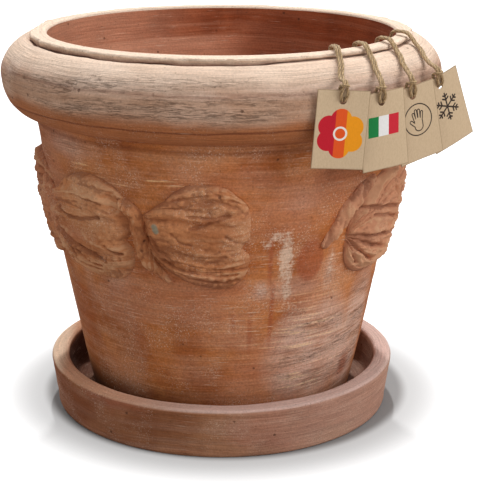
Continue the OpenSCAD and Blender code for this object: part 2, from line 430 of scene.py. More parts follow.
def smooth(piece, angle):
    onlySelect(piece)
    bpy.ops.object.shade_smooth_by_angle(angle=math.radians(angle))


def finish(piece, body, slot, node, *materials):
    for material in materials:
        piece.data.materials.append(material)
    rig.replaces(piece, node)
    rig.slot(piece, slot)
    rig.ride(piece, body)


def newLayers(piece, *names):
    for name in names:
        piece.data.attributes.new(name, "FLOAT", "POINT")
    return [piece.data.attributes[name].data for name in names]


def paint(piece, name, amount):
    for vertex, mark in zip(piece.data.vertices, newLayers(piece, name)[0]):
        mark.value = amount(vertex.co, *polar(vertex.co))


# ---- the pot's sizes, and its radius outside and inside at each height

pot = {
    "footRadius": 122, "neckRadius": 170.5, "bow": 3, "foot": 12, "neck": 283, "top": 354,
    "wall": 18, "base": 18, "drain": 12.5, "fillet": 10, "bevel": 2, "neckFillet": 5, "neckFlare": 4,
    "rollRadius": 200, "rollMiddle": 318.7, "upperPower": 1.78, "lowerPower": 2.3,
    "foldRadius": 170.4, "foldHeight": 349, "lipRadius": 172, "lipInner": 157.6, "lipRound": 2,
    "innerRound": 3, "creaseDepth": 2.2, "gape": 4.6, "gapeWide": 4.4, "droop": 1.1,
    "wallStep": 2.4, "hollowStep": 4.6, "rollStep": 1.25, "wallTurns": 500, "rollTurns": 680}


def wallRadius(height):
    share = (height - pot["foot"]) / (pot["neck"] - pot["foot"])
    return blended(pot["footRadius"], pot["neckRadius"], share) + pot["bow"] * 4 * share * (1 - share)


def hollowRadius(height):
    if height <= pot["neck"]:
        return wallRadius(height) - pot["wall"]
    share = (height - pot["neck"]) / (pot["top"] - pot["innerRound"] - pot["neck"])
    return blended(pot["neckRadius"] - pot["wall"], pot["lipInner"], min(1, share))


# ---- tag twines: each is one loop of jute, from a dab of glue inside the pot over the lip,
# down the roll, hitched round the card's top edge, and back beside itself

twine = {
    "thick": 2.8, "spread": 1.4, "glueAzimuth": [36.5, 46.5, 60, 76],
    # out of the hollow's wall, above the lip's top, share of the way round to the card
    "lip": [(-2.8, -30, 0), (-2.7, -20, 0.03), (-2.8, -10, 0.06), (-2.9, -3.5, 0.09),
            (-2, 0.2, 0.12), (0.5, 2.4, 0.15), (4.5, 2.8, 0.2), (12.5, 2.9, 0.34),
            (16.8, 1.2, 0.43)],
    # out of the roll's widest line, above it, share
    "roll": [(-18.8, 30.4, 0.53), (-12.4, 26.6, 0.65), (-7, 22, 0.78), (-1, 18.5, 0.88)],
    # half of the hitch on the card: sideways, up and out from the middle of the hole
    "hitch": [(1.3, 13.6, 3.8), (1.7, 10, 3.4), (2.6, 6.8, 3), (2.5, 4, 2.6), (1.9, 1.6, 1.9),
              (1.4, 0.2, 0.4), (1.6, 0.5, -1.2), (2.1, 2.6, -1.7), (2.7, 6, -1.7),
              (2.9, 9.4, -1.5), (2.8, 11.6, -0.5), (2.7, 12.4, 1.6), (2.4, 12.7, 4),
              (1.5, 12.8, 5.8), (0, 12.8, 6.3)],
    "lobes": 3, "lobeDepth": 0.17, "turnEvery": 6.5, "sides": 12, "ring": 0.55,
    "length": [0.270, 0.271, 0.284, 0.301],  # metres, both strands
    "dark": (140, 112, 78), "pale": (208, 178, 136),
    "glueDark": (196, 170, 120), "gluePale": (220, 200, 158)}
card = {
    "width": 43, "height": 64, "thick": 0.8, "holeRadius": 3, "holeDrop": 8.5,
    "azimuth": [27.5, 38.5, 48.5, 60], "faces": [10, 24, 28, 32], "tilt": [-4, 6.5, 13, 21],
    "stand": [7.5, 6.5, 9, 12], "rise": [2.8, -2.7, -2.2, 0.8],
    "bend": [1.1, -0.9, 1.2, -1.0], "curlWide": 21.5, "curlHigh": 55, "heldFlat": 20,
    "columns": 28, "rows": 42, "softEdge": 0.12, "curls": (0.7, -0.5)}


def cardFrame(number):
    turn, tilt = math.radians(card["faces"][number]), math.radians(card["tilt"][number])
    outwards = Vector((math.sin(turn), -math.cos(turn), 0))
    right = Vector((math.cos(turn), math.sin(turn), 0))
    hole = at(card["azimuth"][number], pot["rollRadius"] + card["stand"][number],
              pot["rollMiddle"] + card["rise"][number])
    along = right * math.cos(tilt) + up * math.sin(tilt)
    upwards = up * math.cos(tilt) - right * math.sin(tilt)
    return hole, along, upwards, outwards


def halfLoop(number, side):
    start, end = twine["glueAzimuth"][number], card["azimuth"][number]
    hole, along, upwards, outwards = cardFrame(number)
    middle = [at(blended(start, end, share), hollowRadius(pot["top"] + rise) + out,
                 pot["top"] + rise) for out, rise, share in twine["lip"]]
    middle += [at(blended(start, end, share), pot["rollRadius"] + out, pot["rollMiddle"] + rise)
               for out, rise, share in twine["roll"]]
    points = []
    for index, place in enumerate(middle):
        ahead = middle[min(index + 1, len(middle) - 1)] - middle[max(index - 1, 0)]
        radial = Vector((place.x, place.y, 0)).normalized()
        level = radial.cross(up)
        across = (level - ahead * level.dot(ahead) / ahead.length_squared).normalized()
        points.append(place - across * side * twine["spread"] * mm)
    return points + [hole + (along * side * a + upwards * u + outwards * o) * mm
                     for a, u, o in twine["hitch"]]


def roundTube(name, line, radiusAt, sides, ringStep):
    # the line through the points is smoothed by a curve, and a lobed section is turned along it
    curve = bpy.data.curves.new(name + "Line", "CURVE")
    curve.dimensions = "3D"
    curve.resolution_u = 12
    spline = curve.splines.new("BEZIER")
    spline.bezier_points.add(len(line) - 1)
    for point, place in zip(spline.bezier_points, line):
        point.co = place
        point.handle_left_type = point.handle_right_type = "AUTO"
    holder = bpy.data.objects.new(name + "Line", curve)
    bpy.context.collection.objects.link(holder)
    bpy.context.view_layer.update()
    dense = [v.co.copy() for v in holder.to_mesh().vertices]
    holder.to_mesh_clear()
    bpy.data.objects.remove(holder)
    path, length, nextRing = [dense[0]], 0.0, ringStep
    for before, after in zip(dense, dense[1:]):
        span = (after - before).length
        while length + span >= nextRing:
            path.append(before.lerp(after, (nextRing - length) / span))
            nextRing += ringStep
        length += span
    path[-1] = dense[-1]
    vertices, faces, side = [], [], None
    for index, place in enumerate(path):
        ahead = (path[min(index + 1, len(path) - 1)] - path[max(index - 1, 0)]).normalized()
        if side is None:
            side = ahead.orthogonal().normalized()
        side = (side - ahead * side.dot(ahead)).normalized()
        other = ahead.cross(side)
        for corner in range(sides):
            angle = math.tau * corner / sides
            radius = radiusAt(index * ringStep, angle)
            vertices.append(place + (side * math.cos(angle) + other * math.sin(angle)) * radius)
    for index in range(len(path) - 1):
        for corner in range(sides):
            a, b = index * sides + corner, index * sides + (corner + 1) % sides
            faces.append((a, b, b + sides, a + sides))
    faces.append(tuple(reversed(range(sides))))
    faces.append(tuple(range((len(path) - 1) * sides, len(path) * sides)))
    mesh = bpy.data.meshes.new(name)
    mesh.from_pydata(vertices, [], faces)
    piece = bpy.data.objects.new(name, mesh)
    bpy.context.collection.objects.link(piece)
    for index, (vertex, mark) in enumerate(zip(mesh.vertices, newLayers(piece, "girth")[0])):
        mark.value = (vertex.co - path[index // sides]).length
    return piece, path


def plyRadius(distance, angle):
    turns = math.tau * distance / (twine["turnEvery"] * mm)
    lobe = abs(math.cos(twine["lobes"] * (angle - turns / twine["lobes"]) / 2))
    deep = twine["lobeDepth"]
    return twine["thick"] / 2 * mm * (1 - deep + deep * 1.35 * (lobe - 0.25))


twinePieces = []
for number in range(4):
    line = halfLoop(number, -1) + halfLoop(number, 1)[-2::-1]
    loop, path = roundTube(f"twine{number + 1}", line, plyRadius, twine["sides"], twine["ring"] * mm)
    closeUp(loop)
    smooth(loop, 60)
    twinePieces.append((loop, path))
    print("twine", number + 1, "is", round(sum((b - a).length for a, b in zip(path, path[1:])), 4))

# ---- cards

cardPieces = []
for number in range(4):
    hole, along, upwards, outwards = cardFrame(number)
    clearSelection()
    bpy.ops.mesh.primitive_grid_add(x_subdivisions=card["columns"], y_subdivisions=card["rows"],
                                    size=1)
    piece = added(f"card{number + 1}")
    high = card["holeDrop"]
    for vertex in piece.data.vertices:
        level = blended(high - card["height"], high, vertex.co.y + 0.5)
        vertex.co = (vertex.co.x * card["width"], level, 0)
    thicken(card["thick"])
    bpy.ops.mesh.select_all(action="SELECT")
    bpy.ops.mesh.normals_make_consistent(inside=False)
    bpy.ops.object.mode_set(mode="OBJECT")
    bpy.ops.mesh.primitive_cylinder_add(vertices=40, radius=card["holeRadius"], depth=6)
    punch = bpy.context.object
    changed(piece, "BOOLEAN", object=punch, solver="EXACT")
    bpy.data.objects.remove(punch)
    changed(piece, "BEVEL", width=card["softEdge"], segments=2, limit_method="ANGLE",
            angle_limit=math.radians(60))
    flat = piece.data.uv_layers[0]
    flat.name = "printMap"
    for vertex, mark in zip(piece.data.vertices, newLayers(piece, "front")[0]):
        mark.value = 1 if vertex.co.z > card["thick"] * 0.9 else 0
    flat = piece.data.uv_layers["printMap"]
    for corner in piece.data.loops:
        place = piece.data.vertices[corner.vertex_index].co
        flat.data[corner.index].uv = (place.x / card["height"], place.y / card["height"])
    acrossCurl, downCurl = card["curls"]
    for vertex in piece.data.vertices:
        a, u, o = vertex.co
        # the card curls a little away from its hole, where the twine holds it flat
        curl = acrossCurl * (a / card["curlWide"]) ** 2 + downCurl * (u / card["curlHigh"]) ** 2
        curl *= card["bend"][number] * min(1, (a * a + u * u) / card["heldFlat"] ** 2)
        vertex.co = hole + (along * a + upwards * u + outwards * (o + curl)) * mm
    smooth(piece, 40)
    cardPieces.append(piece)
print("cards cut")

# ---- outlines of the thrown pieces, as radius and height

saucer = {
    "radius": 163.5, "baseRadius": 158, "height": 47, "floor": 12, "innerFloor": 143,
    "innerRim": 147, "edge": 3.5, "fillet": 7, "rimRound": 3.6, "step": 1.7, "turns": 540}


def superCurve(centre, width, height, power, start, end, count=60):
    def swung(value):
        return math.copysign(abs(value) ** (2 / power), value)
    angles = [math.radians(blended(start, end, index / count)) for index in range(count + 1)]
    return [(centre[0] + width * swung(math.cos(a)), centre[1] + height * swung(math.sin(a)))
            for a in angles]


def arcLine(centre, radius, start, end):
    return superCurve(centre, radius, radius, 2, start, end, 10)


def evenLine(points, step):
    # the same line with its points about one step apart
    lengths = [math.dist(a, b) for a, b in zip(points, points[1:])]
    count = max(1, round(sum(lengths) / step))
    wanted, even, walked, index = sum(lengths) / count, [points[0]], 0.0, 0
    for number in range(1, count):
        target = number * wanted
        while walked + lengths[index] < target:
            walked += lengths[index]
            index += 1
        share = (target - walked) / lengths[index]
        even.append(tuple(blended(a, b, share) for a, b in zip(points[index], points[index + 1])))
    return even + [points[-1]]


def wallOutline():
    outside = []
    for index in range(81):
        height = blended(pot["neck"], pot["foot"] + pot["bevel"], index / 80)
        near = max(0, 1 - (pot["neck"] - height) / pot["neckFillet"])
        flare = pot["neckFlare"] * (1 - math.sqrt(1 - near * near))
        outside.append((wallRadius(height) + flare, height))
    footEdge = wallRadius(pot["foot"]) - pot["bevel"]
    inside = pot["foot"] + pot["base"]
    low, high = inside + pot["fillet"], pot["top"] - pot["innerRound"]
    corner = (wallRadius(low) - pot["wall"] - pot["fillet"], low)
    levels = [blended(low, high, index / 60) for index in range(61)]
    hollow = [(hollowRadius(height), height) for height in levels]
    under = [(footEdge, pot["foot"]), (pot["drain"] + 1, pot["foot"])]
    bore = [(pot["drain"], pot["foot"] + 1), (pot["drain"], inside - 1)]
    ground = [(pot["drain"] + 1, inside), (corner[0], inside)]
    return (evenLine(outside, pot["wallStep"]) + evenLine(under, 25) + evenLine(bore, 6)
            + evenLine(ground, 9)[:-1] + evenLine(arcLine(corner, pot["fillet"], -90, 0), 3)[:-1]
            + evenLine(hollow, pot["hollowStep"]) + evenLine([hollow[-1], outside[0]], 30)[1:-1])


def rollOutline():
    top, edge, inside = pot["top"], pot["lipRound"], pot["innerRound"]
    inner = arcLine((pot["lipInner"] + inside, top - inside), inside, 180, 90)
    outer = arcLine((pot["lipRadius"] - edge, top - edge), edge, 90, -70)
    widest, middle = pot["rollRadius"], pot["rollMiddle"]
    fold, foldHeight = pot["foldRadius"], pot["foldHeight"]
    crease = [(fold - pot["creaseDepth"], foldHeight + rise) for rise in (0.4, -0.3)]
    upper = superCurve((fold, middle), widest - fold, foldHeight - middle, pot["upperPower"], 90, 0)
    lower = superCurve((pot["neckRadius"], middle), widest - pot["neckRadius"], pot["neck"] - middle,
                       pot["lowerPower"], 0, 90)
    return (evenLine(inner + outer, 0.9) + crease + evenLine(upper + lower[1:], pot["rollStep"])
            + evenLine([lower[-1], inner[0]], 20)[1:-1])


def saucerOutline():
    base, rim = saucer["baseRadius"], saucer["rimRound"]
    outside = arcLine((base - saucer["edge"], saucer["edge"]), saucer["edge"], -90, -12)
    outside += arcLine((saucer["radius"] - rim, saucer["height"] - rim), rim, 0, 90)
    inside = arcLine((saucer["innerRim"] + rim, saucer["height"] - rim), rim, 90, 180)
    inside += arcLine((saucer["innerFloor"] - saucer["fillet"], saucer["floor"] + saucer["fillet"]),
                      saucer["fillet"], 0, -90)
    return (evenLine([(0, 0), outside[0]], 24)[:-1] + evenLine(outside + inside, saucer["step"])
            + evenLine([inside[-1], (0, saucer["floor"])], 12)[1:])


def spunClay(name, outline, turns):
    # a ring of points is laid along the outline and spun round the pot's axis
    clearSelection()
    bpy.ops.mesh.primitive_circle_add(vertices=len(outline), fill_type="NOTHING")
    piece = added(name)
    reach, walked = newLayers(piece, "reach")[0], 0.0
    for index, (radius, height) in enumerate(outline):
        walked += math.dist(outline[index - 1], outline[index]) if index else 0
        piece.data.vertices[index].co = (radius * mm, 0, height * mm)
        reach[index].value = walked * mm
    editAll()
    bpy.ops.mesh.spin(steps=turns, angle=math.tau, center=(0, 0, 0), axis=(0, 0, 1))
    bpy.ops.mesh.select_all(action="SELECT")
    bpy.ops.mesh.remove_doubles(threshold=weld)
    bpy.ops.mesh.delete_loose()
    bpy.ops.object.mode_set(mode="OBJECT")
    closeUp(piece)
    return piece


def pushOut(piece, amount):
    # moves each point straight out from the pot's axis
    for vertex in piece.data.vertices:
        azimuth, radius, height = polar(vertex.co)
        if radius > 1:
            shift = amount(vertex.co, azimuth, radius, height) / radius
            vertex.co.x *= 1 + shift
            vertex.co.y *= 1 + shift


potWall = spunClay("potWall", wallOutline(), pot["wallTurns"])


def isHollow(radius, height):
    middle = wallRadius(min(height, pot["neck"])) - pot["wall"] / 2
    return radius < middle and height > pot["foot"] + 2


def wallPush(place, azimuth, radius, height):
    if isHollow(radius, height):
        keep = smoothStep(34, 60, height) * smoothStep(352, 338, height)
        tilted = Vector((place.x, place.y, place.z * 7 + place.x * 1.2))
        return keep * (0.7 * hum(place, 70) + 0.8 * hum(tilted, 60, 5))
    keep = smoothStep(13, 24, height) * smoothStep(283, 274, height)
    return keep * (0.6 * hum(place, 75) + 0.3 * hum(flattened(place, 5), 40, 3)
                   + 0.12 * hum(place, 9, 8))


pushOut(potWall, wallPush)
print("pot wall spun,", len(potWall.data.polygons), "faces")

rolledRim = spunClay("rolledRim", rollOutline(), pot["rollTurns"])


def rollPush(place, azimuth, radius, height):
    lip = smoothStep(166, 171, radius) * smoothStep(347, 350, height)
    onRoll = smoothStep(286, 292, height) * smoothStep(171, 175, radius)
    level = flattened(place, 8)
    edge = 2 * hum(place, 26, 4) + 1.7 * hum(place, 10, 2) + 0.5 * hum(place, 4) + 0.3
    rolls = 0.5 * hum(place, 80) - 0.5 + 0.35 * hum(level, 60, 6) - 0.12 * abs(hum(level, 9, 1))
    return lip * edge + onRoll * rolls


pushOut(rolledRim, rollPush)
for vertex in rolledRim.data.vertices:  # the crease under the lip gapes, and the lip droops
    azimuth, radius, height = polar(vertex.co)
    if 342 < height < 350.2 and radius < 182:
        gape = blended(0.2, 1, smoothStep(-110, -80, azimuth) * smoothStep(20, 2, azimuth))
        gape *= 0.85 + 0.6 * hum(vertex.co, 20, 5)
        gape *= math.exp(-((radius - pot["neckRadius"]) / pot["gapeWide"]) ** 2)
        vertex.co.z -= pot["gape"] * gape * mm
    if height > 349 and radius < 174:
        droop = 0.5 + 0.5 * hum(vertex.co, 30, 7) + 0.25 * hum(vertex.co, 8, 3)
        outer = smoothStep(158, 172, radius)
        droop = max(0, 0.5 + pot["droop"] * droop * outer) * smoothStep(349.5, 352, height)
        vertex.co.z -= droop * mm
print("rim rolled,", len(rolledRim.data.polygons), "faces")

saucerDish = spunClay("saucerDish", saucerOutline(), saucer["turns"])


def saucerPush(place, azimuth, radius, height):
    keep = smoothStep(2, 9, height) * smoothStep(120, 150, radius)
    return keep * (0.45 * hum(place, 70, 2) - 0.45 + 0.3 * hum(flattened(place, 4), 22, 4)
                   + 0.15 * hum(place, 8))


pushOut(saucerDish, saucerPush)
for vertex in saucerDish.data.vertices:  # the rim is a little uneven in height
    vertex.co.z -= smoothStep(38, 46, vertex.co.z / mm) * (0.5 + 0.5 * hum(vertex.co, 55, 9)) * mm
print("saucer spun,", len(saucerDish.data.polygons), "faces")

# ---- leaf festoons

leaf = {
    "azimuth": [(-137, -105.5), (-105, -67), (-66, -28), (-25, 9)],
    "root": [-0.19, 0.19, 0.17, 0.27], "middle": 198.5, "half": 47.5, "relief": 14, "edge": 2.5,
    "key": 1.5, "fan": 125, "notch": (-0.15, 0.12), "notchAngle": 2.4, "cornerAngle": 5,
    # grooves fanned out from the root: across, depth and half width
    "grooves": [(-0.82, 0.18, 0.07), (-0.64, 0.21, 0.07), (-0.44, 0.21, 0.08),
                (0.27, 0.36, 0.07), (0.5, 0.21, 0.07), (0.72, 0.18, 0.07)],
    "start": 0.035, "across": 150, "along": 104, "roundShare": 0.13, "sink": 0.9, "thinnest": 0.6,
    "trimRound": 4.5, "clearOfStem": (6, 15), "grooveDepth": 0.8, "rimShade": 1.4,
    "folds": [(3.4, 1, 2.5), (9, 2.4, 1), (22, 5, 0.4)], "crumple": 1.2,
    # one value for each leaf; calm is how far its far middle is pressed smooth
    "pressed": [1.25, 0.8, 0.75, 0.6], "height": [0.9, 0.76, 1, 0.95],
    "taper": [1.3, 1.3, 1.3, 0.6], "calm": [0.3, 0.3, 0.45, 0.7],
    # upper edges, as azimuth and height, above which the clay is bare
    "trims": [
        [], [],
        [(-66, 214), (-60.4, 223), (-51.4, 242.5), (-45.9, 247.5), (-42, 248), (-38, 245.4),
         (-33.4, 240.2), (-30, 232), (-25, 222)],
        [(-26, 215), (-21.8, 222.2), (-16.6, 232.7), (-13.8, 240.6), (-10, 246.8), (10, 250)]],
    "pit": [(-18.9, 211.5), (-18.6, 207.5)], "pitSize": 3.4}
# creases pressed across each leaf: azimuth and height of their points, depth and half width
creases = [
    [([(-136.5, 217), (-127, 212.4), (-112, 203.8)], 3, 1.8),
     ([(-138, 191), (-131, 188.4), (-121, 184.4), (-108, 178)], 3.2, 2),
     ([(-138, 191), (-130.4, 180.6), (-118.6, 170.3)], 3, 2),
     ([(-138, 191), (-133, 175.8), (-126, 163.4)], 3.4, 2.2),
     ([(-138, 191), (-133, 164.4)], 2.6, 2),
     ([(-129, 206.6), (-119.7, 200.4), (-108, 190)], 2.4, 1.6)],
    [([(-92, 229), (-84, 227), (-75, 224)], 2.6, 1.8), ([(-100, 211), (-92, 209), (-80, 213)], 3, 2),
     ([(-98, 196), (-90, 183), (-78, 171)], 3, 1.8), ([(-96, 178), (-91, 167), (-85, 160)], 3, 1.8)],
    [([(-47.3, 228), (-41.5, 227), (-36.7, 224)], 2.4, 1.6),
     ([(-56, 211.5), (-50.6, 208), (-45.8, 207.2), (-37.3, 211.5)], 3.4, 1.7),
     ([(-57.5, 199), (-55.5, 194), (-48.9, 183.5), (-42.1, 177.5), (-36.8, 171.5)], 3.6, 1.7),
     ([(-56, 180), (-53, 173), (-49.5, 167)], 3, 1.5),
     ([(-53, 166.5), (-46, 163.5), (-39, 162.5)], 3, 1.5),
     ([(-51, 174.5), (-45.5, 169), (-38.5, 166.8)], 2.6, 1.3),
     ([(-56.5, 217), (-50, 219.3), (-44, 217)], 2.4, 1.5),
     ([(-36.5, 186), (-33.5, 181.5), (-31, 181)], 3, 1.5),
     ([(-45, 238), (-38, 238.5), (-33, 234)], 1.6, 1.6)],
    [([(-17.5, 229), (-12, 236), (-7, 238.4), (0, 240.5)], 1.8, 1.4),
     ([(-13.5, 228.5), (-8, 231.5), (0, 235)], 2, 1.5),
     ([(-9.5, 222.5), (-4.6, 220.6), (2, 222.5)], 3, 1.6),
     ([(-8.5, 211.5), (-4.6, 214.6), (-1, 219)], 3.4, 1.6),
     ([(-14, 206), (-12, 200), (-8.5, 196.5)], 2, 1.4),
     ([(-20.3, 201), (-18.6, 190), (-14, 180.5)], 3, 1.6),
     ([(-17.8, 181), (-10.9, 171.6), (-1.9, 168.3), (5, 169.5)], 3, 1.5),
     ([(-15, 172.5), (-9.5, 164.5), (-0.5, 161.4), (5.5, 163)], 2.8, 1.4),
     ([(-12.5, 180.5), (-5, 175.5), (3, 174.6)], 2.4, 1.4),
     ([(-13, 190), (-7, 186), (1.5, 186.5)], 1.6, 1.6),
     ([(0.1, 233.5), (4, 229.5), (7.4, 222)], 1.8, 1.5),
     ([(1, 205), (4, 199), (7.2, 196)], 2.2, 1.6)]]


def leafRise(across, along):
    swell = max(0, 1 - abs(across) ** 3) ** 0.6 * math.sqrt(max(0, 1 - along ** 8))
    depth = max(share * math.exp(-((across - where) / half) ** 2)
                for where, share, half in leaf["grooves"])
    fade = math.sin(math.pi * min(1, along * 0.85 + 0.1))
    full = leaf["edge"] + (leaf["relief"] - leaf["edge"]) * swell * min(1, 0.4 + 2 * along)
    return full - leaf["grooveDepth"] * leaf["relief"] * depth * fade * min(1, 2 * swell)


def leafSpot(number, across, along):
    first, last = leaf["azimuth"][number]
    sweep = math.radians(along * leaf["fan"])
    share = (1 - math.cos(sweep)) / (1 - math.cos(math.radians(leaf["fan"])))
    spread = math.sin(sweep) ** (0.6 if across < 0 else 0.9)
    notch = math.exp(-((across - leaf["notch"][0]) / leaf["notch"][1]) ** 2)
    pull = leaf["notchAngle"] * notch + leaf["cornerAngle"] * abs(across) ** 5
    level = leaf["root"][number] * (1 - share) ** 1.5 + across * spread
    return blended(first, last, share) - pull * share ** 5, leaf["middle"] + leaf["half"] * level


def gapToLine(azimuth, height, line):
    scale = math.radians(1) * (wallRadius(height) + 8)
    nearest = 1e9
    for (a0, h0, *_), (a1, h1, *_) in zip(line, line[1:]):
        ex, ey = (a1 - a0) * scale, h1 - h0
        px, py = (azimuth - a0) * scale, height - h0
        share = min(1, max(0, (px * ex + py * ey) / (ex * ex + ey * ey)))
        nearest = min(nearest, math.hypot(px - ex * share, py - ey * share))
    return nearest


stem = {
    "radius": 6.9, "rise": 0.16, "sides": 30, "links": [-106, -67, -25.5],
    "tail": [(-146.5, -0.32, 0.5), (-143.5, -0.08, 0.75), (-140, 0.19, 0.9), (-138, 0.38, 1),
             (-134, 0.59, 1), (-130, 0.76, 0.85), (-126.5, 0.86, 0.5)],
    "link": [(-6.5, 0.63, 0.6), (-3, 0.51, 0.9), (-0.5, 0.29, 1), (0, 0.08, 1),
             (0.5, -0.21, 1), (2.5, -0.46, 0.85), (6, -0.69, 0.6), (10, -0.86, 0.35)]}
# each stem's line as azimuth, height and share of the full radius
stemLines = [[(azimuth + turn, leaf["middle"] + leaf["half"] * level, share)
              for azimuth, level, share in stem["tail" if number == 0 else "link"]]
             for number, turn in enumerate([0] + stem["links"])]


def folds(number, across, along):
    # rounded folds with sharp valleys, fanned out from the leaf's root
    height = 0.0
    for often, slow, depth in leaf["folds"]:
        bend = 0.35 * noise.noise(Vector((across * 2, along * 2.5, 9 + number)))
        place = Vector(((across + bend) * often, along * slow, 4.7 * number + often))
        height += depth * (2 * abs(noise.noise(place)) - 0.45)
    return height


def keptBelow(number, azimuth, height):
    edge = leaf["trims"][number]
    for (a0, h0), (a1, h1) in zip(edge, edge[1:]):
        if a0 <= azimuth <= a1:
            below = blended(h0, h1, (azimuth - a0) / (a1 - a0)) - height
            return min(1, max(0, below / leaf["trimRound"]))
    return 1


def madeLeaf(number):
    clearSelection()
    bpy.ops.mesh.primitive_grid_add(x_subdivisions=leaf["across"], y_subdivisions=leaf["along"],
                                    size=2)
    piece = added(f"leafA{number + 1}")
    thicken(1)
    bpy.ops.object.mode_set(mode="OBJECT")
    for vertex, mark, pitted in zip(piece.data.vertices, *newLayers(piece, "crease", "pit")):
        across, along = vertex.co.x, blended(leaf["start"], 1, (vertex.co.y + 1) / 2)
        azimuth, height = leafSpot(number, across, along)
        if vertex.co.z < 0.5:
            vertex.co = at(azimuth, wallRadius(height) - leaf["key"], height)
            continue
        spot = at(azimuth, wallRadius(height), height)
        cut = ridge = 0.0
        for line, depth, half in creases[number]:
            depth *= leaf["pressed"][number]
            gap = gapToLine(azimuth + 0.6 * hum(spot, 9), height + 1.2 * hum(spot, 7, 1), line)
            cut = max(cut, depth * math.exp(-(gap / (0.75 * half)) ** 2))
            ridge = max(ridge, 0.35 * depth * math.exp(-((gap - 2 * half) / half) ** 2))
        crumple = leaf["crumple"] * (2 * abs(hum(spot, 5.5)) - 0.4) * (0.4 + along)
        pressed = math.exp(-((across - 0.1) / 0.42) ** 2) * smoothStep(0.3, 0.6, along)
        fold = (folds(number, across, along) + crumple) * (1 - leaf["calm"][number] * pressed)
        fold += 0.5 * hum(spot, 2.5)
        side = min(1, min(1 - abs(across), leaf["taper"][number] * (1 - along), 0.5 * along + 0.02)
                   / leaf["roundShare"])
        rim = max(side, smoothStep(0.55, 0.8, along))
        kept = keptBelow(number, azimuth, height)
        rounding = math.sqrt((1 - (1 - side) ** 2) * (1 - (1 - kept) ** 2))
        clear = min(smoothStep(*leaf["clearOfStem"], gapToLine(azimuth, height, line))
                    for line in stemLines)
        swell = blended(0.45, 1, smoothStep(0, 0.5, along)) * blended(0.3, 1, clear)
        body = leafRise(across, along) * leaf["height"][number] * swell + fold + ridge - cut
        body = max(leaf["thinnest"], body) * rounding - leaf["sink"] * (1 - rounding)
        vertex.co = at(azimuth, wallRadius(height) + body, height)
        # the crease mark is painted shade in grooves and round the leaf's edge, and a painted highlight on raised
        # folds
        valley = min(1, max(0, 0.5 + 0.4 * (cut - fold)))
        mark.value = blended(leaf["rimShade"], valley, smoothStep(0, 0.4, min(rim, kept)))
        pitted.value = math.exp(-(gapToLine(azimuth, height, leaf["pit"]) / leaf["pitSize"]) ** 2)
    closeUp(piece)
    smooth(piece, 75)
    return piece


def turnedCopy(piece, name):
    # the second festoon is the first one turned half round the pot
    twin = piece.copy()
    twin.data = piece.data.copy()
    twin.name = name
    bpy.context.collection.objects.link(twin)
    twin.data.transform(Matrix.Rotation(math.pi, 4, "Z"))
    return twin


def bothFestoons(pieces, kind):
    # every piece of the first festoon with its node, then their copies in the second
    copies = [turnedCopy(piece, f"{kind}B{n + 1}") for n, piece in enumerate(pieces)]
    return [(piece, f"festoon_{side}_{kind}_{n + 1}")
            for side, half in (("a", pieces), ("b", copies)) for n, piece in enumerate(half)]


leaves = [madeLeaf(number) for number in range(4)]
reliefs = bothFestoons(leaves, "leaf")
print("leaves pressed,", len(leaves[0].data.polygons), "faces each")


def madeStem(number):
    girths = [share for _, _, share in stemLines[number]]
    line = [at(azimuth, wallRadius(height) + stem["rise"] * stem["radius"] * share, height)
            for azimuth, height, share in stemLines[number]]
    total = sum((b - a).length for a, b in zip(line, line[1:]))

    def girth(distance, angle):
        share = min(0.999, distance / total) * (len(girths) - 1)
        thick = blended(girths[int(share)], girths[int(share) + 1], share - int(share))
        ends = math.sqrt(max(0.02, 1 - max(0, abs(distance / total - 0.5) * 2 - 0.94) ** 2 / 0.0036))
        return stem["radius"] * mm * thick * ends * (1 + 0.07 * math.sin(4 * angle + distance * 220))

    piece = roundTube(f"stemA{number + 1}", line, girth, stem["sides"], 0.9 * mm)[0]
    for vertex, mark in zip(piece.data.vertices, newLayers(piece, "crease", "pit")[0]):
        lump = 2 * hum(vertex.co, 11) + 1.9 * (2 * abs(hum(flattened(vertex.co, 0.35), 4.2)) - 0.5)
        lump += 0.6 * hum(vertex.co, 2.5)
        vertex.co += Vector((vertex.co.x, vertex.co.y, 0)).normalized() * lump * mm
        # dips between the lumps are marked for painted shade and raised lumps for a painted highlight
        mark.value = min(1, max(0, 0.5 - 0.5 * lump))
    closeUp(piece)
    smooth(piece, 60)
    return piece


reliefs += bothFestoons([madeStem(number) for number in range(4)], "stem")
print("stems rolled")

# ---- marks on the clay: azimuth, height, half width, half height, strength, hardness

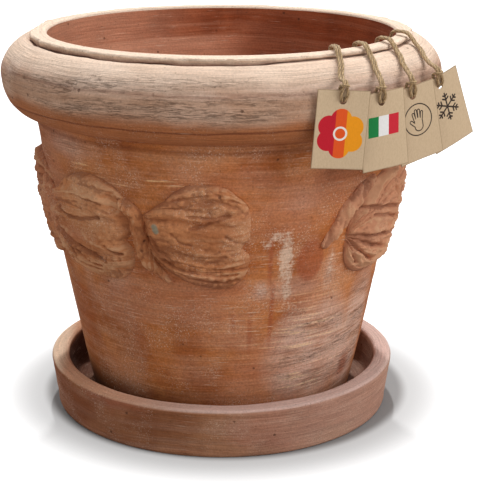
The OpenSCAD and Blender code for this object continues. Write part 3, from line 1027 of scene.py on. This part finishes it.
marks = {
    "bloom": [
        (37, 84, 58, 62, 1, 2.4), (-38, 150, 22, 20, 0.4, 1), (60, 86, 34, 74, 1, 2.2),
        (22, 150, 40, 14, 0.5, 1.4), (13, 150, 10, 12, 0.8, 1.4), (38, 160, 8, 26, 0.5, 1.4),
        (-10, 70, 30, 22, 0.3, 1), (-2, 200, 16, 30, 0.5, 1.2), (25, 232, 24, 16, 0.3, 1),
        (-52, 268, 50, 14, 0.6, 1.4), (-52, 160, 12, 60, 0.3, 1), (-80, 110, 40, 35, 0.3, 1),
        (150, 140, 60, 60, 0.45, 1), (-150, 80, 50, 40, 0.4, 1)],
    "smear": [
        (20.6, 178, 10, 38, 1, 1.5), (17.2, 199, 9, 8, 0.9, 1.5), (14.4, 193, 7, 8, 0.8, 1.4),
        (22, 152, 8, 26, 0.75, 1.4), (13.2, 150, 8, 9, 0.6, 1.2), (9, 160, 6, 22, 0.4, 1),
        (38, 168, 5, 22, 0.6, 1.2), (-3, 118, 8, 14, 0.4, 1), (24, 130, 16, 26, 0.5, 1)],
    "stain": [
        (15.6, 176, 2.6, 30, 0.9, 1.8), (17, 128, 3, 40, 0.9, 1.8), (9.7, 110, 2.4, 30, 0.8, 1.4),
        (3.9, 121, 1.8, 16, 0.7, 1.6), (29.5, 174, 15, 21, 0.9, 5), (37.6, 203, 7, 20, 0.7, 1.6),
        (58.6, 52, 12, 16, 0.9, 1.6), (-62, 110, 30, 60, 0.3, 1), (0, 255, 60, 12, 0.25, 1),
        (38, 235, 12, 22, 0.3, 1), (-30, 100, 16, 20, 0.35, 1), (-19, 204, 9, 22, 0.5, 1.4),
        (9, 78, 22, 14, 0.4, 1), (0, 36, 90, 14, 0.5, 1.2)],
    "scratch": [
        (-42, 252, 30, 6, 1, 1.4), (-30, 245, 34, 5, 1, 1.4), (-18, 248, 34, 5, 1, 1.4),
        (-46, 234, 16, 6, 0.8, 1.2), (-44, 224, 12, 4, 0.8, 1.2), (10, 112, 40, 40, 0.6, 1),
        (32, 90, 60, 70, 0.8, 1.6), (-20, 60, 60, 20, 0.4, 1)]}


def markAmount(kind):
    def amount(place, azimuth, radius, height):
        best = 0.0
        for middle, level, halfWide, halfHigh, strength, hardness in marks[kind]:
            away = (azimuth - middle + 180) % 360 - 180
            wide = math.radians(away) * radius / halfWide
            high = (height - level) / halfHigh
            best = max(best, strength * min(1, hardness * max(0, 1 - math.hypot(wide, high))))
        return best
    return amount


for kind in marks:
    paint(potWall, kind, markAmount(kind))


def roughAmount(place, azimuth, radius, height):
    # the roll's front left was dragged dry and is cracked; its right side is smooth
    side = smoothStep(-95, -40, azimuth) * smoothStep(24, -2, azimuth)
    return max(0.22, side) * smoothStep(345, 330, height) * smoothStep(296, 312, height)


# the roll's underside, painted a darker orange: its bare clay, darkened further as painted shade
def underAmount(place, azimuth, radius, height):
    return smoothStep(312, 299, height + 5 * hum(place, 30, 3))


# the lip's top: its pale clay, brightened further as a painted highlight
def lipAmount(place, azimuth, radius, height):
    return smoothStep(349.2, 350.5, height) * smoothStep(175, 172, radius)


# the crease under the lip, stronger at the front left: a mask for painted shade
def creaseAmount(place, azimuth, radius, height):
    front = smoothStep(-115, -85, azimuth) * smoothStep(24, 0, azimuth)
    inside = smoothStep(350.3, 349.3, height) * smoothStep(166, 169, radius)
    return inside * smoothStep(174, 172, radius) * blended(0.45, 1, front)


# the saucer's inner wall, a mask for painted shade
def insideAmount(place, azimuth, radius, height):
    return smoothStep(150.5, 147.5, radius) * smoothStep(45, 40, height) * smoothStep(11, 12, height)


paint(saucerDish, "inside", insideAmount)
for kind, amount in (("rough", roughAmount), ("under", underAmount), ("lip", lipAmount),
                     ("crease", creaseAmount)):
    paint(rolledRim, kind, amount)

# ---- clay

clay = {
    "body": (195, 121, 68), "dark": (166, 93, 48), "pale": (214, 170, 138),
    "pink": (194, 132, 104), "cream": (232, 208, 186), "soot": (80, 50, 34),
    "bloom": (220, 182, 164), "rust": (164, 84, 52), "gold": (240, 202, 150),
    "seam": (112, 58, 38), "crackTone": (128, 86, 58),
    "lines": 0.8, "bands": 0.28, "haze": 0.25, "hazeFrom": 0.5, "cracks": 0.14, "specks": 0.3,
    "pits": 0.6, "scratches": 0.5, "dust": 0.35, "sand": 0.1,
    "roughness": 0.86, "specular": 0.22, "depth": 0.0007}
looks = {
    "wallClay": {"dust": 0.5, "lines": 0.6, "bands": 0.18, "sand": 0.17},
    "hollowClay": {
        "body": (168, 89, 52), "dark": (130, 63, 34), "pale": (208, 150, 120),
        "haze": 0.3, "hazeFrom": 0.56, "scratches": 0.3, "dust": 0.0},
    "rollClay": {
        "body": (208, 176, 154), "dark": (186, 148, 124), "pale": (228, 204, 188),
        "low": (184, 140, 110), "under": (172, 106, 64),
        # dark lines painted round the roll: height and half width in metres, strength; the top one is painted shade
        # where the roll's upper face turns down
        "levels": [(0.3296, 0.003, 0.3), (0.2997, 0.0014, 0.75), (0.287, 0.0016, 0.35)],
        "haze": 0.5, "hazeFrom": 0.46, "lines": 0.9, "bands": 0.4, "cracks": 0.5, "depth": 0.001,
        "scratches": 0.3, "dust": 0.2},
    "saucerClay": {
        "body": (172, 120, 86), "dark": (146, 92, 60), "pale": (192, 154, 134),
        "pink": (180, 106, 82), "right": (194, 158, 142), "left": (206, 150, 120),
        "rim": [(214, 172, 140), (214, 184, 174), (255, 240, 214)],
        "haze": 0.4, "depth": 0.0009, "scratches": 0.3},
    "leafClay": {
        "body": (196, 132, 88), "dark": (172, 108, 68), "pale": (218, 176, 138),
        "right": (208, 152, 122), "pit": (150, 142, 122), "haze": 0.35, "bands": 0.15,
        "lines": 0.0, "depth": 0.0008, "scratches": 0.0, "dust": 0.5}}


def streakGroup():
    # long level streaks: broad bands, fine lines and short cracks
    group, given, result = newGroup("dragStreaks", [("Vector", "Vector"), ("Reach", "Float")],
                                    ["Bands", "Lines", "Cracks", "Scratches"])
    place = parts(given["Vector"])
    wander = minus(clouds(given["Vector"], 7, 2), 0.5)
    reach = plus(given["Reach"], times(wander, 0.012))
    line = put("CombineXYZ", {0: place[0], 1: place[1], 2: reach}).outputs[0]
    group.links.new(streaky(line, (7, 7, 120), 4, 0.6), result["Bands"])
    group.links.new(streaky(line, (22, 22, 640), 4, 0.65), result["Lines"])
    short = ranged(streaky(line, (95, 95, 1500), 4, 0.75), 0.5, 0.62)
    group.links.new(times(short, ranged(streaky(line, (14, 14, 90)), 0.38, 0.6)), result["Cracks"])
    thin = ranged(streaky(line, (55, 55, 1100), 2), 0.6, 0.7)
    where = ranged(clouds(given["Vector"], 26, 2), 0.46, 0.66)
    group.links.new(times(thin, where), result["Scratches"])
    return group


def grainGroup():
    # sand in the clay: fine grain, sparse specks and small pits
    group, given, result = newGroup("sandGrain", [("Vector", "Vector")],
                                    ["Grain", "Specks", "Pits", "Dust"])
    group.links.new(clouds(given["Vector"], 520, 3, 0.65), result["Grain"])
    for scale, socket, size in ((230, "Specks", 0.22), (62, "Pits", 0.1)):
        cells = put("TexVoronoi", {"Vector": given["Vector"], "Scale": scale}).outputs
        kind = put("SeparateColor", {0: cells["Color"]}).outputs[0]
        small = ranged(cells["Distance"], size, size * 0.5)
        group.links.new(times(small, ranged(kind, 0.62, 0.7)), result[socket])
    fine = ranged(clouds(given["Vector"], 800, 2), 0.56, 0.68)
    group.links.new(times(fine, ranged(clouds(given["Vector"], 30), 0.44, 0.62)), result["Dust"])
    return group


streaks, grains = streakGroup(), grainGroup()


def clayMaterial(name):
    look = {**clay, **looks[name]}
    material, shader = newMaterial(name, look["roughness"], look["specular"])
    place = objectPlace()
    sideways, _, height = parts(place)
    reach = height if name == "leafClay" else painted("reach")
    streak = groupNode(streaks, Vector=place, Reach=reach)
    grain = groupNode(grains, Vector=place)
    lines = minus(streak["Lines"], 0.5)
    bloom = plus(clouds(place, 15, 4, 0.6), times(lines, 0.35))
    if name in ("wallClay", "hollowClay", "rollClay"):
        wavy = plus(height, times(bloom, 0.006))  # for edges that run level but wander a little
    tone = mixed(ranged(clouds(place, 22), 0.36, 0.64), look["dark"], look["body"])

    def cover(paint, amount):
        nonlocal tone
        tone = mixed(amount, tone, look[paint] if isinstance(paint, str) else paint)

    if name in ("wallClay", "leafClay", "saucerClay"):
        cover("pink", ranged(streaky(place, (9, 9, 14)), 0.48, 0.62, 0.0, 0.45))
    cover("pale", ranged(bloom, look["hazeFrom"], look["hazeFrom"] + 0.2, 0.0, look["haze"]))
    cover("pale", ranged(streak["Bands"], 0.42, 0.66, 0.0, look["bands"]))
    cover("dark", ranged(streak["Bands"], 0.48, 0.3, 0.0, look["bands"]))
    if name == "wallClay":
        blotch = maths("MULTIPLY_ADD", lines, 1.4, clouds(place, 34, 5, 0.65))
        cover("bloom", times(painted("bloom"), ranged(blotch, 0.28, 0.64, 0.42, 0.82)))
        grit = times(minus(clouds(place, 330, 4, 0.7), 0.5), 2.4)
        ragged = plus(painted("smear"), plus(grit, times(lines, 1.3)))
        cover("cream", ranged(ragged, 0.3, 1.05, 0.0, 0.66))
        cover("rust", times(painted("stain"), 0.75))
        # the joint under the roll is painted darker, and the left side and the foot are darkened as painted shade
        cover("seam", ranged(height, 0.2805, 0.2825, 0.0, 0.4))
        cover("seam", ranged(gapTo(wavy, 0.2785), 0.0038, 0.0, 0.0, 0.4))
        tone = shaded(tone, ranged(sideways, 0.04, -0.14, 1.0, 0.92))
        tone = shaded(tone, ranged(plus(height, times(sideways, 0.12)), 0.01, 0.042, 0.35, 1.0))
    if name == "hollowClay":
        # painted light inside the pot: the left side is painted paler and the right side darker
        cover("pale", ranged(sideways, 0.0, -0.12, 0.0, 0.65))
        cover("dark", ranged(sideways, -0.02, 0.06, 0.0, 0.6))
        cover("pale", times(ranged(wavy, 0.3275, 0.3245), ranged(sideways, 0.04, -0.02, 0.15, 0.7)))
    if name == "saucerClay":
        # painted highlight on the saucer's right side
        cover("right", ranged(sideways, -0.03, 0.11, 0.0, 0.55))
        rim = mixed(ranged(sideways, -0.12, 0.0), look["rim"][0], look["rim"][1])
        # at the far left the rim turns almost white: a painted pool of light
        rim = mixed(ranged(sideways, -0.142, -0.154), rim, look["rim"][2])
        cover(rim, ranged(height, 0.0435, 0.0455, 0.0, 0.8))
        # painted shade on the saucer's inner wall round the pot
        cover("soot", times(painted("inside"), ranged(sideways, 0.05, -0.08, 0.55, 0.78)))
        # painted shade on the saucer's left side
        cover(shaded(tone, look["left"]), ranged(sideways, 0.0, -0.15, 0.0, 0.4))
    if name == "rollClay":
        # the roll's lower half is painted darker as painted shade, and its top paler, partly the clay's pale bloom and
        # partly a painted highlight
        cover("low", ranged(height, 0.33, 0.322, 0.0, 0.5))
        cover("under", times(painted("under"), 0.95))
        cover("cream", ranged(height, 0.326, 0.342, 0.0, 0.65))
        # the lip's pale clay, with a painted highlight on its top
        cover("cream", times(painted("lip"), 0.75))
        # painted shade in the crease under the lip
        cover("seam", times(painted("crease"), 0.85))
        for level, half, amount in look["levels"]:
            cover("seam", ranged(gapTo(wavy, level), half, 0.0, 0.0, amount))
    worn = look["scratches"]
    if name == "wallClay":
        worn = plus(painted("scratch"), worn, clamp=True)
        cover("gold", times(painted("scratch"), ranged(streak["Lines"], 0.56, 0.66, 0.0, 0.8)))
    cover("cream", times(streak["Scratches"], worn))
    tone = shaded(tone, maths("MULTIPLY_ADD", lines, look["lines"], 1.0))
    tone = shaded(tone, ranged(grain["Grain"], 0.3, 0.7, 1 - look["sand"], 1 + 0.8 * look["sand"]))
    cover("cream", times(grain["Dust"], look["dust"]))
    cover("soot", times(grain["Specks"], look["specks"]))
    cover("soot", times(grain["Pits"], look["pits"]))
    bumps = plus(times(grain["Grain"], 0.35), times(lines, look["lines"]))
    bumps = minus(bumps, times(grain["Pits"], 0.8))
    if name in ("rollClay", "wallClay"):
        cracks = times(streak["Cracks"], painted("rough" if name == "rollClay" else "bloom"))
        cover("crackTone", times(cracks, look["cracks"]))
        bumps = minus(bumps, times(cracks, 0.7))
    if name == "leafClay":
        cover("right", ranged(sideways, 0.04, 0.09, 0.0, 0.6))
        # painted shade in the leaf's grooves and round its edges, painted highlight on its raised folds
        valley = painted("crease")
        for paint, start, end, amount in (("seam", 0.6, 1.0, 0.4), ("seam", 1.0, 1.4, 0.14),
                                          ("pale", 0.35, 0.0, 0.35)):
            cover(paint, ranged(valley, start, end, 0.0, amount))
        cover("pit", ranged(painted("pit"), 0.35, 0.8))
    finished(shader, tone, bumps, look["depth"])
    return material


clays = {name: clayMaterial(name) for name in looks}
print("clay mixed")

# ---- card stock and its prints, drawn from strokes and discs in millimetres from the hole

ink = {
    "kraft": (208, 184, 152), "fibre": (186, 158, 124), "black": (52, 40, 34),
    "white": (240, 238, 232), "cutEdgeAndShade": (126, 100, 72), "edge": 0.12, "line": 0.5,
    "blossomAt": (0, -26.5), "petals": 6, "petalOut": 11.4, "petalSize": 8.7, "heart": 5.8,
    "petalColours": [(196, 22, 44), (230, 88, 30), (242, 156, 20)],
    "stripesAt": (0.5, -19.5), "stripeWide": 9.4, "stripeHigh": 8.3, "stripeLean": -0.09,
    "stripeColours": [(20, 130, 66), (240, 240, 240), (206, 38, 56)],
    "ringAt": (1.6, -21), "ringSize": 13.4, "flakeAt": (2.0, -20.8), "flakeArm": 12.2,
    # an open hand: a palm, four fingers and a thumb, by their middle lines and half widths
    "hand": [((0.2, -5.8), (0.2, -2), 4), ((-2.9, 0), (-4, 5.6), 1.1), ((-1, 0), (-1.3, 7.8), 1.1),
             ((1.3, 0), (1.7, 7.5), 1.1), ((3.2, -0.4), (4.5, 5.4), 1.05),
             ((-2.6, -5), (-6.8, -0.6), 1.25)]}


def printPlace(middle):
    # millimetres from the middle of a print
    flat = put("UVMap", uv_map="printMap").outputs[0]
    scale = (card["height"], card["height"], 0)
    return vectors("MULTIPLY_ADD", flat, scale, (-middle[0], -middle[1], 0))


def folded(place, count):
    # repeats one sector of a print round its middle
    across, upwards, _ = parts(place)
    angle = maths("PINGPONG", plus(maths("ARCTAN2", upwards, across), math.pi / 6), math.pi / count)
    reach = vectors("LENGTH", place)
    return put("CombineXYZ", {0: times(reach, maths("COSINE", angle)),
                              1: times(reach, maths("SINE", angle))}).outputs[0]


def strokeGap(place, start, end):
    along = (end[0] - start[0], end[1] - start[1])
    square = along[0] ** 2 + along[1] ** 2
    offset = vectors("SUBTRACT", place, (*start, 0))
    share = vectors("DOT_PRODUCT", offset, (along[0] / square, along[1] / square, 0))
    share = plus(share, 0.0, clamp=True)
    nearest = put("VectorMath", {0: (*along, 0), 3: share}, operation="SCALE").outputs[0]
    return vectors("DISTANCE", offset, nearest)


def inked(gap, edge):
    return ranged(gap, edge + ink["edge"], edge - ink["edge"])


def blossomCard(tone):
    place = printPlace(ink["blossomAt"])
    petal = vectors("DISTANCE", folded(place, ink["petals"]), (ink["petalOut"], 0, 0))
    petal = inked(petal, ink["petalSize"])
    side = parts(place)[0]
    left, middle, right = ink["petalColours"]
    paint = mixed(ranged(side, -4.6, -4.4), left, middle)
    paint = mixed(ranged(side, 4.4, 4.6), paint, right)
    tone = mixed(petal, tone, paint)
    heart = vectors("DISTANCE", place, (0, 0, 0))
    tone = mixed(inked(heart, ink["heart"]), tone, ink["white"])
    return mixed(inked(heart, ink["heart"] - 1.6), tone, middle)


def stripeCard(tone):
    across, upwards, _ = parts(printPlace(ink["stripesAt"]))
    across = plus(across, times(upwards, ink["stripeLean"]))
    band = ranged(maths("ABSOLUTE", upwards), ink["stripeHigh"] + 0.1, ink["stripeHigh"] - 0.1)
    for index, paint in enumerate(ink["stripeColours"]):
        offset = gapTo(across, (index - 1) * ink["stripeWide"])
        tone = mixed(times(maths("LESS_THAN", offset, ink["stripeWide"] / 2), band), tone, paint)
    return tone


def handCard(tone):
    place = printPlace(ink["ringAt"])
    ring = gapTo(vectors("DISTANCE", place, (0, 0, 0)), ink["ringSize"])
    tone = mixed(inked(ring, ink["line"]), tone, ink["black"])
    outline = None
    for start, end, half in ink["hand"]:
        gap = minus(strokeGap(place, start, end), half)
        outline = gap if outline is None else maths("MINIMUM", outline, gap)
    return mixed(inked(maths("ABSOLUTE", outline), ink["line"] * 0.9), tone, ink["black"])


def flakeCard(tone):
    place = folded(printPlace(ink["flakeAt"]), 6)
    arm = ink["flakeArm"]
    gap = strokeGap(place, (0, 0), (arm, 0))
    for start, out in ((0.5, 3.2), (0.76, 2.2)):
        branch = strokeGap(place, (arm * start, 0), (arm * start + out * 0.6, out * 0.95))
        gap = maths("MINIMUM", gap, branch)
    return mixed(inked(gap, 0.72), tone, ink["black"])


def cardMaterial(draw):
    material, shader = newMaterial(draw.__name__, 0.78, 0.3)
    fibres = streaky(objectPlace(), (900, 900, 420), 4, 0.7)
    tone = mixed(ranged(fibres, 0.4, 0.8, 0.0, 0.3), ink["kraft"], ink["fibre"])
    front = minus(1.0, put("NewGeometry").outputs["Backfacing"])
    face = painted("front")
    tone = mixed(times(face, front), tone, draw(tone))
    # the card's cut sides and a thin line round its border are darker: the cut edge's darker fibre, and painted shade
    # that parts one card from the next
    tone = mixed(ranged(face, 0.9, 0.4, 0.0, 0.8), tone, ink["cutEdgeAndShade"])
    across, upwards, _ = parts(printPlace((0, card["holeDrop"] - card["height"] / 2)))
    gaps = [minus(maths("ABSOLUTE", way), size / 2)
            for way, size in ((across, card["width"]), (upwards, card["height"]))]
    tone = mixed(ranged(maths("MAXIMUM", *gaps), -0.9, -0.1, 0.0, 0.6), tone, ink["cutEdgeAndShade"])
    finished(shader, shaded(tone, ranged(fibres, 0.3, 0.7, 1.03, 0.97)), fibres, 0.00012)
    return material


prints = [cardMaterial(draw) for draw in (blossomCard, stripeCard, handCard, flakeCard)]


def juteMaterial():
    material, shader = newMaterial("juteTwine", 0.9, 0.15, 0.2)
    fibres = streaky(objectPlace(), (1500, 1500, 500), 4, 0.7)
    tone = mixed(ranged(fibres, 0.35, 0.65), twine["dark"], twine["pale"])
    # painted shade in the grooves between the plies: the thinner the section there, the darker
    low, high = [twine["thick"] * mm * share for share in (0.39, 0.49)]
    finished(shader, shaded(tone, ranged(painted("girth"), low, high, 0.5, 1.02)), fibres, 0.0003)
    return material


def glueMaterial():
    material, shader = newMaterial("dryGlue", 0.35, 0.5)
    clots = clouds(objectPlace(), 260)
    tone = mixed(ranged(clots, 0.4, 0.65), twine["glueDark"], twine["gluePale"])
    shader.inputs["Subsurface Weight"].default_value = 0.3
    finished(shader, tone, clots, 0.0008)
    return material


jute, glue = juteMaterial(), glueMaterial()
print("card, jute and glue set")

# ---- what each piece stands for, and what it rides on

for material in (clays["wallClay"], clays["hollowClay"]):
    potWall.data.materials.append(material)
for face in potWall.data.polygons:
    azimuth, radius, height = polar(face.center)
    face.material_index = 1 if isHollow(radius, height) else 0
for piece in (potWall, rolledRim, saucerDish):
    smooth(piece, 50)
finish(potWall, "pot", "pot_clay", "pot_body")
finish(rolledRim, "pot", "pot_clay", "pot_body", clays["rollClay"])
finish(saucerDish, "saucer", "saucer_clay", "saucer", clays["saucerClay"])
for piece, node in reliefs:
    finish(piece, "pot", "relief_clay", node, clays["leafClay"])
for number, (loop, path) in enumerate(twinePieces):
    finish(loop, "pot", "jute_twine", f"tag_twine_{number + 1}", jute)
    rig.cord(loop, exit=path[0], length=twine["length"][number], diameter=twine["thick"] * mm,
            far_end="object", stiffness="limp", lay="hanging", path=path,
            with_pieces=[cardPieces[number]])
    for slot in bpy.data.objects[f"glue_dab_{number + 1}"].material_slots:
        slot.material = glue
for number, piece in enumerate(cardPieces):
    finish(piece, f"card_{number + 1}", "kraft_card", f"tag_{number + 1}", prints[number])

json.dump({"cad": [list(corner) for corner in cadBox], "visual": [list(corner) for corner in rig.bounds()]},
          open("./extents.json", "w"))
